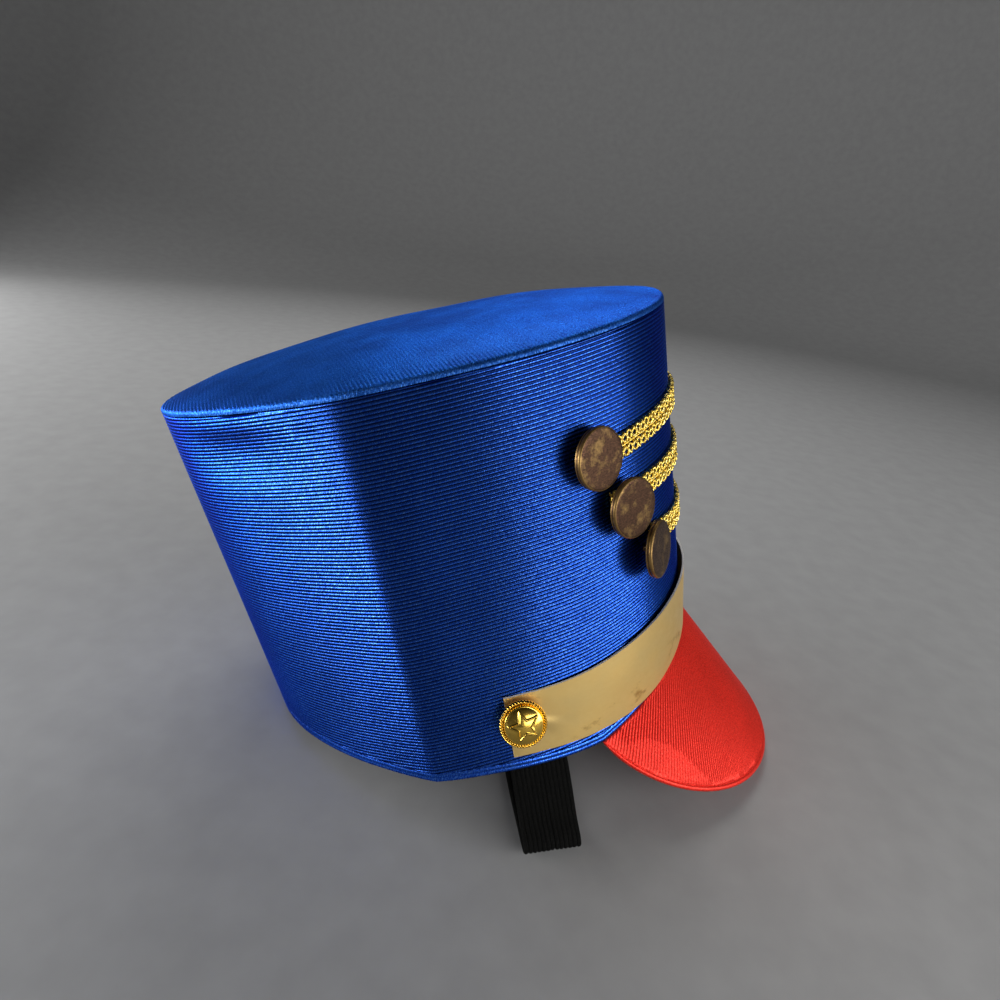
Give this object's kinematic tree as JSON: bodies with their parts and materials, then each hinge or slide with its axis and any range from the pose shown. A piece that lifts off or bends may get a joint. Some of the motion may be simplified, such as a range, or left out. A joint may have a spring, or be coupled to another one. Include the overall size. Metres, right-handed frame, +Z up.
{
  "type": "drum major hat",
  "caption": "Tall hollow band hat of ribbed cloth with a domed oval top, steep cloth peak, gold front band on star buttons, gold braids ending under disc buttons, and an elastic chin strap.",
  "frame": {"origin": "on the surface that the hat rests on, under the middle of its box without the chin strap", "axes": "+Z up, front with the peak towards -Y, the wearer's right towards -X; the hat leans back on its rim and its peak's tip"},
  "size_m": [0.2126, 0.2962, 0.2042],
  "materials": {
    "blue_cloth": "royal blue ribbed satin cloth",
    "red_cloth": "bright red ribbed satin cloth",
    "gold_vinyl": "gold foil vinyl, a little rubbed",
    "gold_braid": "looped metallic gold cord",
    "bronze": "worn brown bronze with bright edges",
    "gold_metal": "polished gold",
    "black_elastic": "black ribbed elastic"
  },
  "bodies": {
    "root": {"crown_side": "blue_cloth", "crown_top": "blue_cloth", "peak": "red_cloth", "front_band": "gold_vinyl", "braid_upper": "gold_braid", "braid_middle": "gold_braid", "braid_lower": "gold_braid", "disc_upper_right": "bronze", "disc_middle_right": "bronze", "disc_lower_right": "bronze", "disc_upper_left": "bronze", "disc_middle_left": "bronze", "disc_lower_left": "bronze", "star_button_right": "gold_metal", "star_button_left": "gold_metal", "chin_strap": "black_elastic"}
  },
  "joints": []
}
